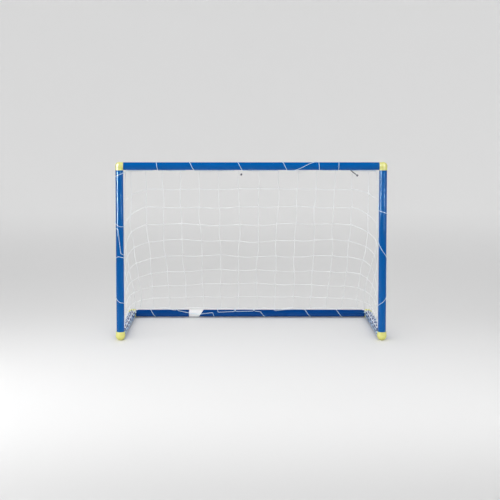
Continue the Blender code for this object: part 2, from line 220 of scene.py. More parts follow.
# ---------------------------------------------------------------- finishes
class Signal:
    """A socket that takes part in sums. Each operator adds one Math node."""

    def __init__(self, finish, socket):
        self.finish, self.socket = finish, socket

    def with_(self, operation, first, second):
        return self.finish.node("ShaderNodeMath", {"operation": operation}, {0: first, 1: second})

    def __add__(self, other):
        return self.with_("ADD", self, other)

    __radd__ = __add__

    def __sub__(self, other):
        return self.with_("SUBTRACT", self, other)

    def __rsub__(self, other):
        return self.with_("SUBTRACT", other, self)

    def __mul__(self, other):
        return self.with_("MULTIPLY", self, other)

    __rmul__ = __mul__

    def __truediv__(self, other):
        return self.with_("DIVIDE", self, other)

    def __pow__(self, other):
        return self.with_("POWER", self, other)

    def above(self, low, high):
        """0 below low, 1 above high, and smooth between."""
        return self.finish.node(
            "ShaderNodeMapRange", {"interpolation_type": "SMOOTHSTEP"}, {"Value": self, 1: low, 2: high}
        )


class Finish:
    """A Principled material. Constants go straight to its sockets, and signals are fed to a few."""

    def __init__(self, name, **constants):
        self.material = bpy.data.materials.new(name)
        self.material.use_nodes = True
        self.tree = self.material.node_tree
        self.shader = self.tree.nodes["Principled BSDF"]
        for socket, value in constants.items():
            self.shader.inputs[socket.replace("_", " ")].default_value = value

    def node(self, kind, settings=None, inputs=None, output=0):
        """Any node: its settings first, then its inputs as numbers, colours or signals."""
        made = self.tree.nodes.new(kind)
        for key, value in (settings or {}).items():
            setattr(made, key, value)
        for key, value in (inputs or {}).items():
            if isinstance(value, Signal):
                self.tree.links.new(value.socket, made.inputs[key])
            else:
                made.inputs[key].default_value = value
        return Signal(self, made.outputs[output])

    def feed(self, socket, signal):
        self.tree.links.new(signal.socket, self.shader.inputs[socket])

    def place(self):
        """The piece's own coordinates, in metres."""
        return self.node("ShaderNodeTexCoord", output=3)

    def lay(self):
        """(turns around, metres along) from the piece's UV map."""
        return self.node("ShaderNodeUVMap", {"uv_map": "lay"})

    def stretched(self, vector, scale):
        return self.node("ShaderNodeMapping", inputs={"Vector": vector, "Scale": scale})

    def parts(self, vector):
        split = self.node("ShaderNodeSeparateXYZ", inputs={0: vector})
        node = split.socket.node
        return [Signal(self, node.outputs[k]) for k in range(3)]

    def noise(self, vector, scale, detail=3.0, roughness=0.5):
        inputs = {"Vector": vector, "Scale": scale, "Detail": detail, "Roughness": roughness}
        return self.node("ShaderNodeTexNoise", inputs=inputs)

    def blend(self, share, first, second):
        """A colour between two, which may be signals."""
        inputs = {0: share, 6: first, 7: second}
        return self.node("ShaderNodeMix", {"data_type": "RGBA"}, inputs, output=2)

    def bump(self, height, distance, strength=1.0):
        """A height in units of distance, turned into a normal and fed to the shader."""
        inputs = {"Height": height, "Distance": distance, "Strength": strength}
        self.feed("Normal", self.node("ShaderNodeBump", inputs=inputs))


def colour(red, green, blue):
    """A linear colour from 8-bit sRGB numbers."""
    linear = [((c / 255 + 0.055) / 1.055) ** 2.4 if c > 10 else c / 255 / 12.92 for c in (red, green, blue)]
    return (*linear, 1.0)


def tube_finish(name, deep, clear):
    """Extruded blue plastic: die lines and a slow wave in the gloss along the tube, and light scuffs."""
    finish = Finish(name, IOR=1.49, Specular_IOR_Level=0.22, Specular_Tint=(0.6, 0.88, 1, 1))
    lay, place = finish.lay(), finish.place()
    die_lines = finish.noise(finish.stretched(lay, (90, 2.2, 1)), 1.0, 4.0, 0.6)
    slow = finish.noise(finish.stretched(lay, (3, 4, 1)), 1.0, 2.0)
    peel = finish.noise(place, 900.0, 2.0)
    scuffs = finish.noise(finish.stretched(lay, (26, 30, 1)), 1.0, 6.0, 0.65).above(0.63, 0.74)
    scratches = finish.noise(finish.stretched(lay, (7, 420, 1)), 1.0, 2.0, 0.5).above(0.70, 0.73)
    worn = scuffs * 0.5 + scratches * 0.35
    clean = finish.blend(slow, deep, clear)
    finish.feed("Base Color", finish.blend(worn * 0.22, clean, colour(84, 150, 206)))
    finish.feed("Roughness", 0.05 + die_lines * 0.04 + slow * 0.02 + worn * 0.10)
    finish.bump(die_lines * 0.6 + peel * 0.25 - scratches * 0.5, 0.000012)
    return finish.material


def elbow_finish():
    """Moulded pale yellow plastic: a spark-textured skin, faint flow marks, and dirt low on the feet."""
    finish = Finish(
        "elbow yellow plastic",
        IOR=1.49,
        Subsurface_Weight=0.06,
        Subsurface_Radius=(0.004, 0.003, 0.001),
        Subsurface_Scale=0.6,
    )
    place = finish.place()
    grain = finish.noise(place, 2600.0, 2.0)
    flow = finish.noise(finish.stretched(place, (30, 30, 90)), 1.0, 4.0, 0.55)
    height = finish.parts(place)[2]
    low = 1 - height.above(0.001, 0.016)
    dirt = low * finish.noise(place, 260.0, 5.0, 0.65).above(0.42, 0.66)
    clean = finish.blend(flow, colour(218, 216, 108), colour(228, 226, 134))
    finish.feed("Base Color", finish.blend(dirt * 0.35, clean, colour(166, 158, 112)))
    finish.feed("Roughness", 0.34 + grain * 0.10 + flow * 0.06 + dirt * 0.2)
    finish.bump(grain + flow * 0.8, 0.00004)
    return finish.material


def string_finish(name, pale, shaded, twist, strands, groove):
    """Twisted white string: the strands' grooves wind round it, with loose fibres and slight soiling."""
    finish = Finish(name, Sheen_Weight=0.25, Sheen_Roughness=0.5, Specular_IOR_Level=0.3)
    lay, place = finish.lay(), finish.place()
    around, along, _ = finish.parts(lay)
    phase = (around + along / twist) * (strands * math.tau)
    wave = finish.node("ShaderNodeMath", {"operation": "SINE"}, {0: phase}) * 0.5 + 0.5
    fibre_phase = (around * 2.0 + along / (twist * 0.5)) * (strands * math.tau * 4)
    fibres = finish.node("ShaderNodeMath", {"operation": "SINE"}, {0: fibre_phase}) * 0.5 + 0.5
    fuzz = finish.noise(place, 2200.0, 3.0, 0.6)
    soil = finish.noise(place, 14.0, 4.0, 0.6).above(0.48, 0.8)
    # The colour runs from the shaded to the pale one with the grooves' wave and the fuzz: painted shade in
    # the grooves, and a random fibre tone.
    body = finish.blend(wave * 0.75 + fuzz * 0.25, shaded, pale)
    finish.feed("Base Color", finish.blend(soil * 0.12, body, colour(214, 208, 194)))
    finish.feed("Roughness", 0.62 + fuzz * 0.2)
    finish.bump(wave + fibres * 0.18 + fuzz * 0.25, groove)
    return finish.material


def toggle_finish():
    """Moulded dark plastic, satin, with a fine grain and rubbed high spots."""
    finish = Finish("toggle dark plastic", IOR=1.5)
    place = finish.place()
    grain = finish.noise(place, 3000.0, 2.0)
    rubbed = finish.noise(place, 500.0, 4.0, 0.6).above(0.5, 0.75)
    finish.feed("Base Color", finish.blend(rubbed * 0.4, colour(38, 34, 60), colour(66, 62, 92)))
    finish.feed("Roughness", 0.30 + grain * 0.12 + rubbed * 0.12)
    finish.bump(grain, 0.00003)
    return finish.material


def label_finish():
    """A blank woven wrap: crossed threads and slight creases round the tube."""
    finish = Finish("label white wrap", Sheen_Weight=0.1, Specular_IOR_Level=0.35)
    lay = finish.lay()
    around, along, _ = finish.parts(lay)
    warp = finish.node("ShaderNodeMath", {"operation": "SINE"}, {0: along * (math.tau / 0.0007)})
    weft = finish.node("ShaderNodeMath", {"operation": "SINE"}, {0: around * (math.tau * 150)})
    weave = warp * weft * 0.5 + 0.5
    creases = finish.noise(finish.stretched(lay, (14, 60, 1)), 1.0, 4.0, 0.6)
    body = finish.blend(weave * 0.5 + creases * 0.5, colour(226, 227, 228), colour(252, 252, 252))
    finish.feed("Base Color", body)
    finish.feed("Roughness", 0.5 + weave * 0.15 + creases * 0.1)
    finish.bump(weave * 0.4 + creases * 1.5, 0.0001)
    return finish.material


TUBE = tube_finish("tube blue plastic", colour(0, 87, 162), colour(0, 95, 174))
# The ground tubes take a darker copy of the same blue: painted shade, for the shade they lie in low under the
# net and far from the lamps.
GROUND_TUBE_WITH_PAINTED_SHADE = tube_finish("ground tube blue plastic with painted shade", colour(0, 63, 134), colour(2, 71, 146))
ELBOW = elbow_finish()
STRING = string_finish("net white string", colour(255, 255, 255), colour(240, 242, 245), 0.005, 2, 0.00008)
CORD = string_finish("lacing white cord", colour(226, 247, 255), colour(192, 220, 240), 0.006, 3, 0.00008)
TOGGLE = toggle_finish()
LABEL = label_finish()


# ---------------------------------------------------------------- tubes
TUBE_SIDES = 96
EDGE_ROUND = 0.0004


def tube(name, node, axis, finish):
    """A hollow tube. Its profile, in (along, radius), runs down the outer wall and back up the bore, with
    each rim rounded by a small quarter circle, and is carried once round the axis."""
    low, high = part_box(node)
    centre = middle(node)
    half = (np.array(high) - np.array(low)) @ axis / 2
    bend = np.radians(np.linspace(0, 90, 5))
    outer = np.linspace(-half + EDGE_ROUND, half - EDGE_ROUND, 25)
    rim_out = EDGE_ROUND * np.stack([np.sin(bend), np.cos(bend) - 1], -1)
    bore = TUBE_RADIUS - TUBE_WALL
    profile = np.concatenate(
        [
            np.stack([outer, np.full_like(outer, TUBE_RADIUS)], -1)[:-1],
            np.array([half - EDGE_ROUND, TUBE_RADIUS]) + rim_out,
            np.array([half - EDGE_ROUND, bore]) + (rim_out * [1, -1])[::-1],
            np.stack([outer, np.full_like(outer, bore)], -1)[::-1][1:-1],
            np.array([-half + EDGE_ROUND, bore]) + rim_out * [-1, -1],
            np.array([-half + EDGE_ROUND, TUBE_RADIUS]) + (rim_out * [-1, 1])[::-1][:-1],
        ]
    )
    angle = np.arange(TUBE_SIDES) / TUBE_SIDES * math.tau
    first, second = (UP, np.cross(axis, UP)) if axis[2] < 0.5 else (RIGHT, BACK)
    ring = np.cos(angle)[:, None] * first + np.sin(angle)[:, None] * second
    points = centre + profile[:, None, :1] * axis + profile[:, None, 1:] * ring[None]
    skin = Skin()
    skin.grid(points, profile[:, 0], angle / math.tau, wrap_along=True)
    return stands_for(skin.piece(name, finish), "tube_blue", node)


tube("crossbar_tube", "crossbar", RIGHT, TUBE)
tube("left_post_tube", "left_post", UP, TUBE)
tube("right_post_tube", "right_post", UP, TUBE)
tube("left_side_tube", "left_side_bar", BACK, GROUND_TUBE_WITH_PAINTED_SHADE)
tube("right_side_tube", "right_side_bar", BACK, GROUND_TUBE_WITH_PAINTED_SHADE)
tube("rear_tube", "rear_bar", RIGHT, GROUND_TUBE_WITH_PAINTED_SHADE)


# ---------------------------------------------------------------- elbows
COLLAR_STEP = 0.0005
ELBOW_BLEND = 0.0016
RIM_BLEND = 0.0011
FLAT_BLEND = 0.0003
SPIGOT_LENGTH, SPIGOT_GAP, SPIGOT_WALL, SPIGOT_DRAFT = 0.038, 0.0003, 0.0028, 0.0004
FAR = 1.0


def smooth_min(a, b, blend):
    """The lower of two values, rounded off where they are nearer than the blend."""
    h = np.clip(0.5 + 0.5 * (b - a) / blend, 0, 1)
    return b * (1 - h) + a * h - blend * h * (1 - h)


def elbow(name, node, corner, legs, radius, stands):
    """An elbow seen from its corner point: along each direction the skin is at the ball's radius, or at the
    collar of a leg where that is further, and never past the shoulder of a leg or the ground. Those
    limits meet in small fillets. Latitude runs from one side of the elbow to the other, and longitude
    round the plane of its legs. The spigots are sleeves of a drafted profile."""
    side = np.cross(*legs)
    latitude = np.radians(np.linspace(-89.5, 89.5, 121))[:, None]
    longitude = (np.arange(240) / 240 * math.tau)[None, :]
    a, b = legs
    ray = (
        np.sin(latitude)[..., None] * side
        + (np.cos(latitude) * np.cos(longitude))[..., None] * a
        + (np.cos(latitude) * np.sin(longitude))[..., None] * b
    )
    reach = np.full(ray.shape[:2], radius)
    for leg in legs:
        forward = ray @ leg
        aside = np.sqrt(np.clip(1 - np.clip(forward, 0, 1) ** 2, 1e-6, 1))
        collar = (radius - COLLAR_STEP) / aside
        reach = -smooth_min(-reach, -np.minimum(collar, FAR), ELBOW_BLEND)
    for leg in legs:
        limit = np.where(ray @ leg > 0.05, SHOULDER / np.clip(ray @ leg, 0.05, 1), FAR)
        reach = smooth_min(reach, limit, RIM_BLEND)
    if stands:
        below = np.where(ray[..., 2] < -0.3, corner[2] / np.clip(-ray[..., 2], 0.3, 1), FAR)
        reach = smooth_min(reach, below, FLAT_BLEND)
    skin = Skin()
    body = corner + ray * reach[..., None]
    skin.grid(body, latitude[:, 0] * radius, longitude[0] / math.tau, caps=True)
    plug = TUBE_RADIUS - TUBE_WALL - SPIGOT_GAP
    for leg, other in (legs, legs[::-1]):
        start, tip = SHOULDER - 0.002, SHOULDER + SPIGOT_LENGTH
        bore = plug - SPIGOT_WALL
        profile = np.array(
            [
                [start, plug],
                [tip - 0.0012, plug - SPIGOT_DRAFT],
                [tip - 0.0004, plug - SPIGOT_DRAFT - 0.0003],
                [tip, plug - SPIGOT_DRAFT - 0.0010],
                [tip, bore + 0.0004],
                [tip - 0.0006, bore],
                [start, bore],
            ]
        )
        angle = np.arange(64) / 64 * math.tau
        across = np.cross(leg, other)
        ring = np.cos(angle)[:, None] * other + np.sin(angle)[:, None] * across
        points = corner + profile[:, None, :1] * leg + profile[:, None, 1:] * ring[None]
        skin.grid(points, profile[:, 0], angle / math.tau, wrap_along=True)
    return stands_for(skin.piece(name, ELBOW), "elbow_yellow", node)


for label, side in (("left", -1), ("right", 1)):
    inward = -side * RIGHT
    front_corner = np.array([side * POST_X, FRONT_Y, GROUND_Z])
    rear_corner = np.array([side * POST_X, REAR_Y, GROUND_Z])
    top_corner = np.array([side * POST_X, FRONT_Y, TOP_Z])
    elbow(f"top_{label}_elbow_body", f"top_{label}_elbow", top_corner, (-UP, inward), TOP_RADIUS, False)
    elbow(f"front_{label}_foot_body", f"front_{label}_foot", front_corner, (UP, BACK), FOOT_RADIUS, True)
    elbow(f"rear_{label}_elbow_body", f"rear_{label}_elbow", rear_corner, (inward, -BACK), FOOT_RADIUS, True)


# ---------------------------------------------------------------- where the cord lies
# Metres along each tube, and degrees about it from its front, with 90 on top of a level tube or at the +X
# side of a post.
CROSSBAR_LACING = (
    (-0.548, -65), (-0.530, -98), (-0.430, -98), (-0.423, -180), (-0.418, -270), (-0.409, -450),
    (-0.398, -458), (-0.290, -458), (-0.282, -540), (-0.275, -630), (-0.247, -810), (-0.238, -818),
    (-0.076, -818), (-0.069, -900), (-0.063, -990), (-0.035, -1170), (-0.026, -1174), (0.118, -1174),
    (0.127, -1260), (0.135, -1350), (0.161, -1530), (0.170, -1526), (0.180, -1524), (0.288, -1350),
    (0.294, -1260), (0.2995, -1170), (0.2955, -990), (0.303, -900), (0.311, -822), (0.374, -822),
    (0.3825, -795), (0.3840, -645), (0.388, -540), (0.396, -462), (0.545, -455),
)
LEFT_POST_LACING = (
    (0.744, 80), (0.735, 0), (0.722, -90), (0.710, -172), (0.545, -172), (0.526, -90), (0.507, 0),
    (0.505, 90), (0.503, 180), (0.501, 270), (0.496, 342), (0.388, 378), (0.376, 450), (0.371, 540),
    (0.361, 630), (0.375, 705), (0.365, 810), (0.357, 900), (0.345, 982), (0.207, 982), (0.193, 996),
    (0.171, 1080), (0.164, 1170), (0.157, 1255), (0.060, 1255),
)
RIGHT_POST_LACING = (
    (0.738, -172), (0.600, -172), (0.578, -90), (0.571, 0), (0.560, 90), (0.550, 175), (0.464, 175),
    (0.442, 270), (0.396, 360), (0.360, 446), (0.345, 458), (0.217, 458), (0.199, 444), (0.171, 360),
    (0.152, 270), (0.137, 185), (0.060, 185),
)
REAR_LACING = (
    (-0.540, 170), (-0.503, 170), (-0.495, 90), (-0.457, -90), (-0.448, -180), (-0.428, -262),
    (-0.398, -274), (-0.3635, -304), (-0.3625, -220), (-0.3595, -220), (-0.3585, -305), (-0.312, -340),
    (-0.256, -366), (-0.219, -354), (-0.184, -341), (-0.1735, -450), (-0.168, -540), (-0.163, -630),
    (-0.158, -696), (-0.0765, -685), (-0.076, -580), (-0.073, -580), (-0.0725, -684), (0.0165, -677),
    (0.017, -575), (0.020, -575), (0.0205, -678), (0.050, -688), (0.081, -810), (0.094, -900),
    (0.108, -990), (0.121, -1032), (0.181, -1001), (0.222, -985), (0.260, -990), (0.305, -1170),
    (0.314, -1260), (0.322, -1315), (0.408, -1315), (0.415, -1350), (0.459, -1530), (0.470, -1620),
    (0.540, -1620),
)
LABEL_LEFT, LABEL_RIGHT_TOP, LABEL_RIGHT_BOTTOM = -0.300, -0.229, -0.254
LABEL_LIFT = 0.0013
SIDE_HOLD, SIDE_WRAPS, SIDE_PITCH, SIDE_WRAP_WIDTH = 152, 6, 0.078, 0.012


def side_lacing():
    """Evenly spaced full turns, with the cord held on the tube's inner side between them."""
    stations = [(-SIDE_WRAPS * SIDE_PITCH / 2, SIDE_HOLD)]
    for wrap in range(SIDE_WRAPS):
        centre, held = (wrap - (SIDE_WRAPS - 1) / 2) * SIDE_PITCH, SIDE_HOLD + 360 * wrap
        stations += [(centre - SIDE_WRAP_WIDTH / 2, held), (centre + SIDE_WRAP_WIDTH / 2, held + 360)]
    return [*stations, (SIDE_WRAPS * SIDE_PITCH / 2, SIDE_HOLD + 360 * SIDE_WRAPS)]


# Where the net's edge stands from each tube's axis, as (towards its front, towards 90 degrees).
EDGE_BY_CROSSBAR = (-0.0250, -0.0100)
EDGE_BY_POST = (-0.0215, 0.0150)
EDGE_BY_REAR_BAR = (0.0115, 0.0209)
EDGE_BY_SIDE_BAR = (-0.0150, 0.0209)


def crossings(stations, edge):
    """Places along a tube where the cord turns past the net's edge, which it holds there."""
    place, angle = np.array(stations, float).T
    held = math.degrees(math.atan2(edge[1], edge[0]))
    fine = np.linspace(0, len(place) - 1, 40 * len(place))
    at, turned = np.interp(fine, np.arange(len(place)), place), np.interp(fine, np.arange(len(place)), angle)
    wave = np.floor((turned - held) / 360)
    return at[1:][np.diff(wave) != 0]


# ---------------------------------------------------------------- net
NET_BEHIND_BAR, NET_BELOW_BAR, NET_OVER_GROUND_TUBES, NET_INSIDE_TUBES = 0.028, 0.017, 0.0245, 0.0150
NET_SAG = 0.045
CORNER_FULL, CORNER_SLACK = 0.97, 0.80
NET_FRONT = 0.0215
MESH_ROWS = 9
MESH_WIDTH = 0.089
FIRST_COLUMN = -0.0561
SIDE_GATHER = 0.073
SIDE_START, SIDE_FALL, SIDE_CLOSER = 0.45, 0.20, 0.55
HALF_WIDTH = POST_X - NET_INSIDE_TUBES


def net_height(v):
    top, bottom = TOP_Z - NET_BELOW_BAR, GROUND_Z + NET_OVER_GROUND_TUBES
    return top + (bottom - top) * v


def net_depth(v):
    """How far the middle of row v stands behind the crossbar's axis: a straight slope, less a parabola."""
    last = REAR_Y - FRONT_Y - NET_INSIDE_TUBES
    return NET_BEHIND_BAR + (last - NET_BEHIND_BAR) * v - 4 * NET_SAG * v * (1 - v)


def row_table():
    """Half of each row, from its middle to a post, by arc length. A row is the superellipse
    |x/a|^n + |depth/b|^n = 1, whose corner stands at a share q of a and b, so n = ln 0.5 / ln q."""
    v = np.linspace(-0.02, 1.01, 208)[:, None]
    share = CORNER_SLACK + (CORNER_FULL - CORNER_SLACK) * (2 * v - 1) ** 4
    n = math.log(0.5) / np.log(share)
    b = net_depth(v)
    t = np.linspace(0, 1, 300)[None, :]
    back_x = t * share * HALF_WIDTH
    back_d = b * (1 - (back_x / HALF_WIDTH) ** n) ** (1 / n)
    side_d = share * b + (NET_FRONT - share * b) * t[:, 1:]
    side_x = HALF_WIDTH * np.clip(1 - (side_d / b) ** n, 0, 1) ** (1 / n)
    x, depth = np.concatenate([back_x, side_x], 1), np.concatenate([back_d, side_d], 1)
    arc = np.concatenate([np.zeros_like(v), np.cumsum(np.hypot(np.diff(x), np.diff(depth)), 1)], 1)
    even = np.linspace(0, 1, 400)
    by_arc = [[np.interp(even * a[-1], a, q) for a, q in zip(arc, values)] for values in (x, depth)]
    return v[:, 0], arc[:, -1], np.array(by_arc[0]), np.array(by_arc[1])


ROW_V, ROW_LENGTH, ROW_X, ROW_DEPTH = row_table()


def on_rows(v, share):
    """The x and depth at a share of half a row, read between the table's rows and columns."""
    i = np.clip((v - ROW_V[0]) / (ROW_V[1] - ROW_V[0]), 0, len(ROW_V) - 1.001)
    j = np.clip(share * (ROW_X.shape[1] - 1), 0, ROW_X.shape[1] - 1.001)
    i0, j0 = i.astype(int), j.astype(int)
    di, dj = i - i0, j - j0
    read = []
    for table in (ROW_X, ROW_DEPTH):
        near = table[i0, j0] * (1 - dj) + table[i0, j0 + 1] * dj
        far = table[i0 + 1, j0] * (1 - dj) + table[i0 + 1, j0 + 1] * dj
        read.append(near * (1 - di) + far * di)
    return read


LEFT_POST_HOLDS = crossings(LEFT_POST_LACING, EDGE_BY_POST)
RIGHT_POST_HOLDS = crossings(RIGHT_POST_LACING, (EDGE_BY_POST[0], -EDGE_BY_POST[1]))
CROSSBAR_HOLDS = crossings(CROSSBAR_LACING, EDGE_BY_CROSSBAR)
REAR_HOLDS = crossings(REAR_LACING, EDGE_BY_REAR_BAR)
SIDE_HOLDS = crossings(side_lacing(), EDGE_BY_SIDE_BAR)
LOWEST_ROW = float(np.interp(1, ROW_V, ROW_LENGTH))
GROUND_HOLDS = np.concatenate(
    [REAR_HOLDS]
    + [side * (LOWEST_ROW - (SIDE_HOLDS - FRONT_Y - NET_FRONT)) for side in (-1, 1)]
    + [[-HALF_WIDTH, HALF_WIDTH]]
)
PROFILE_V = np.linspace(0, 1, 400)
PROFILE_ARC = np.concatenate(
    [[0], np.cumsum(np.hypot(np.diff(net_depth(PROFILE_V)), np.diff(net_height(PROFILE_V))))]
)
NET_LENGTH = PROFILE_ARC[-1]


def slack(at, holds, reach):
    """0 where the cord holds an edge, rising to 1 further than the reach from every hold."""
    gap = np.abs(at[..., None] - holds).min(-1)
    return 1 - np.exp(-((gap / reach) ** 2))


def hang(v, s):
    """The net's point on row v, s metres from its middle. The sides fall towards the posts, by a sine down
    the net times the square of the way round, and hang there in folds. The edges are drawn to the cord where
    it holds them and pull away between, which fades over a mesh. Slow waves shake the whole net."""
    near = np.abs(s)
    length = np.interp(v, ROW_V, ROW_LENGTH)
    round_side = np.clip((near - SIDE_START) / (length - SIDE_START), 0, 1)
    fallen = v + SIDE_FALL * np.sin(math.pi * np.clip(v, 0, 1)) * round_side**2
    z = net_height(fallen)
    held = np.where(s < 0, slack(z, LEFT_POST_HOLDS, 0.05), slack(z, RIGHT_POST_HOLDS, 0.05))
    inward = 0.013 * held * np.exp(-(length - near) / 0.06)
    near = np.clip(near - inward, 0, length)
    down = np.interp(fallen, PROFILE_V, PROFILE_ARC)
    drop = (-0.0085 + 0.017 * slack(s, CROSSBAR_HOLDS, 0.045)) * np.exp(-down / 0.05)
    lift = (-0.0035 + 0.012 * slack(s, GROUND_HOLDS, 0.035)) * np.exp(-(NET_LENGTH - down) / 0.05)
    shifted = fallen + (drop - lift) / NET_LENGTH
    free = np.sin(math.pi * np.clip(fallen, 0, 1)) * np.clip((length - near) / 0.08, 0, 1)
    folds = round_side * np.sin(math.pi * np.clip(fallen, 0, 1)) ** 2 * np.sin(31.0 * s + 5.0 * v + 0.6)
    sway = 0.016 * folds + 0.0045 * np.sin(11.0 * s + 5.0 * v + 0.4)
    sway = sway + 0.0030 * np.sin(-23.0 * s + 14.0 * v + 1.7)
    slump = 0.0040 * np.sin(9.0 * s - 8.0 * v + 2.1) + 0.0028 * np.sin(27.0 * s + 9.0 * v)
    billow = 0.0060 * np.sin(7.0 * s + 9.0 * v + 0.9) + 0.0035 * np.sin(19.0 * s - 12.0 * v)
    x, depth = on_rows(shifted + free * slump / NET_LENGTH, (near + free * sway * np.sign(s)) / length)
    x = x * np.where(s < 0, -1.0, 1.0)
    return np.stack([x, FRONT_Y + depth + free * billow, net_height(shifted) + free * slump], -1)


def column_places():
    """Signed distances of the columns from the net's middle. They are a mesh apart, and gathered a little
    towards the corners of the back, and beyond those they hang closer together."""
    even = FIRST_COLUMN + MESH_WIDTH * np.arange(-18, 20)
    corner = 0.567
    gathered = 1 - SIDE_GATHER * np.minimum(np.abs(even) / corner, 1) ** 1.5
    beyond = np.sign(even) * np.maximum(np.abs(even) - corner, 0) * SIDE_CLOSER
    places = np.clip(even, -corner, corner) * gathered + beyond
    return places[np.abs(places) < LOWEST_ROW - 0.02]


COLUMNS = column_places()
ROWS = np.interp(np.arange(1, MESH_ROWS) / MESH_ROWS * NET_LENGTH, PROFILE_ARC, PROFILE_V)


def knot(skin, centre, first, second, size):
    """A small blob: an ellipsoid squeezed at its waist, r = 1 - 0.18 cos 4u, lying along the string."""
    across, around = np.radians(np.linspace(-75, 75, 5)), np.arange(8) / 8 * math.tau
    waist = np.cos(across)[:, None] * (1 - 0.12 * np.cos(4 * around))[None, :]
    normal = np.cross(first, second)
    points = (
        np.sin(across)[:, None, None] * first * 1.35
        + (waist * np.cos(around))[..., None] * second * 1.1
        + (waist * np.sin(around))[..., None] * normal
    )
    skin.grid(centre + size * points, across * size, around / math.tau, caps=True)


def string(skin, v, s, bow_v, bow_s, radius, sides=8):
    """One string of the net through the given rows and places, bowed a little between its knots."""
    path = hang(v + bow_v, s + bow_s)
    carried(skin, path, np.broadcast_to(np.array([0.31, -0.9, 0.3]), path.shape), radius, sides)


def string_net():
    """Rows and columns of string with a knot at each crossing, inside a heavier edge string."""
    skin = Skin()
    for v in ROWS:
        length = float(np.interp(v, ROW_V, ROW_LENGTH))
        s = np.linspace(-length, length, int(2 * length / 0.007))
        phase = np.interp(s, COLUMNS, np.arange(len(COLUMNS)))
        string(skin, np.full_like(s, v), s, 0.0030 * np.abs(np.sin(math.pi * phase)), 0, STRING_RADIUS)
    tops = []
    for k, s in enumerate(COLUMNS):
        start = 0.0 if abs(s) < ROW_LENGTH[4] else float(np.interp(abs(s), ROW_LENGTH, ROW_V))
        tops.append(max(start, 0.0))
        v = np.linspace(tops[-1], 1, max(int((1 - tops[-1]) * NET_LENGTH / 0.007), 4))
        phase = np.interp(v, [0, *ROWS, 1], np.arange(len(ROWS) + 2))
        bow = 0.0016 * np.sin(math.pi * phase) * (-1) ** k
        string(skin, v, np.full_like(v, s), 0, bow, STRING_RADIUS)
    edge_v = np.linspace(0, 1, 150)
    for side in (-1, 1):
        string(skin, edge_v, side * np.interp(edge_v, ROW_V, ROW_LENGTH), 0, 0, EDGE_STRING_RADIUS)
    for v in (0.0, 1.0):
        length = float(np.interp(v, ROW_V, ROW_LENGTH))
        s = np.linspace(-length, length, int(2 * length / 0.006))
        string(skin, np.full_like(s, v), s, 0, 0, EDGE_STRING_RADIUS)
    sites = [(v, s) for v in ROWS for s in COLUMNS if abs(s) < np.interp(v, ROW_V, ROW_LENGTH) - 0.004]
    sites += [(v, s) for s, v in zip(COLUMNS, tops)] + [(1.0, s) for s in COLUMNS]
    sites += [(v, side * float(np.interp(v, ROW_V, ROW_LENGTH))) for v in ROWS for side in (-1, 1)]
    v, s = np.array(sites).T
    here, beside, below = hang(v, s), hang(v, s - 0.004 * np.sign(s)), hang(np.minimum(v + 0.004, 1.005), s)
    along = unit(beside - here)
    down = unit(np.cross(along, unit(below - here)))
    for centre, first, second in zip(here, along, unit(np.cross(down, along))):
        knot(skin, centre, first, second, 0.00205)
    return stands_for(skin.piece("string_net", STRING), "net_white", "net_back", "net_left", "net_right")


string_net()


# ---------------------------------------------------------------- lacing
def edge_lines():
    """The straight pieces of the net's four edges, as their starts and their ends."""
    down = np.linspace(0, 1, 300)
    lines = [hang(down, side * np.interp(down, ROW_V, ROW_LENGTH)) for side in (-1, 1)]
    for v in (0.0, 1.0):
        length = float(np.interp(v, ROW_V, ROW_LENGTH))
        s = np.linspace(-length, length, int(2 * length / 0.003))
        lines.append(hang(np.full_like(s, v), s))
    return np.concatenate([line[:-1] for line in lines]), np.concatenate([line[1:] for line in lines])


EDGE_STARTS, EDGE_ENDS = edge_lines()


def passed_round(path, clearance):
    """The path, moved straight away from the net's edges wherever it is nearer to them than the clearance:
    by what is lacking, from the nearest point of any piece of the edge, a few times over."""
    run = EDGE_ENDS - EDGE_STARTS
    length = (run * run).sum(-1)
    for _ in range(6):
        share = np.clip(((path[:, None] - EDGE_STARTS) * run).sum(-1) / length, 0, 1)
        gap = path[:, None] - (EDGE_STARTS + share[..., None] * run)
        distance = np.sqrt((gap * gap).sum(-1))
        nearest = distance.argmin(1)
        picked = np.arange(len(path))
        lacking = np.clip(clearance - distance[picked, nearest], 0, None)
        move = unit(gap[picked, nearest]) * lacking[:, None]
        path = path + softened(move, 3)
    return path


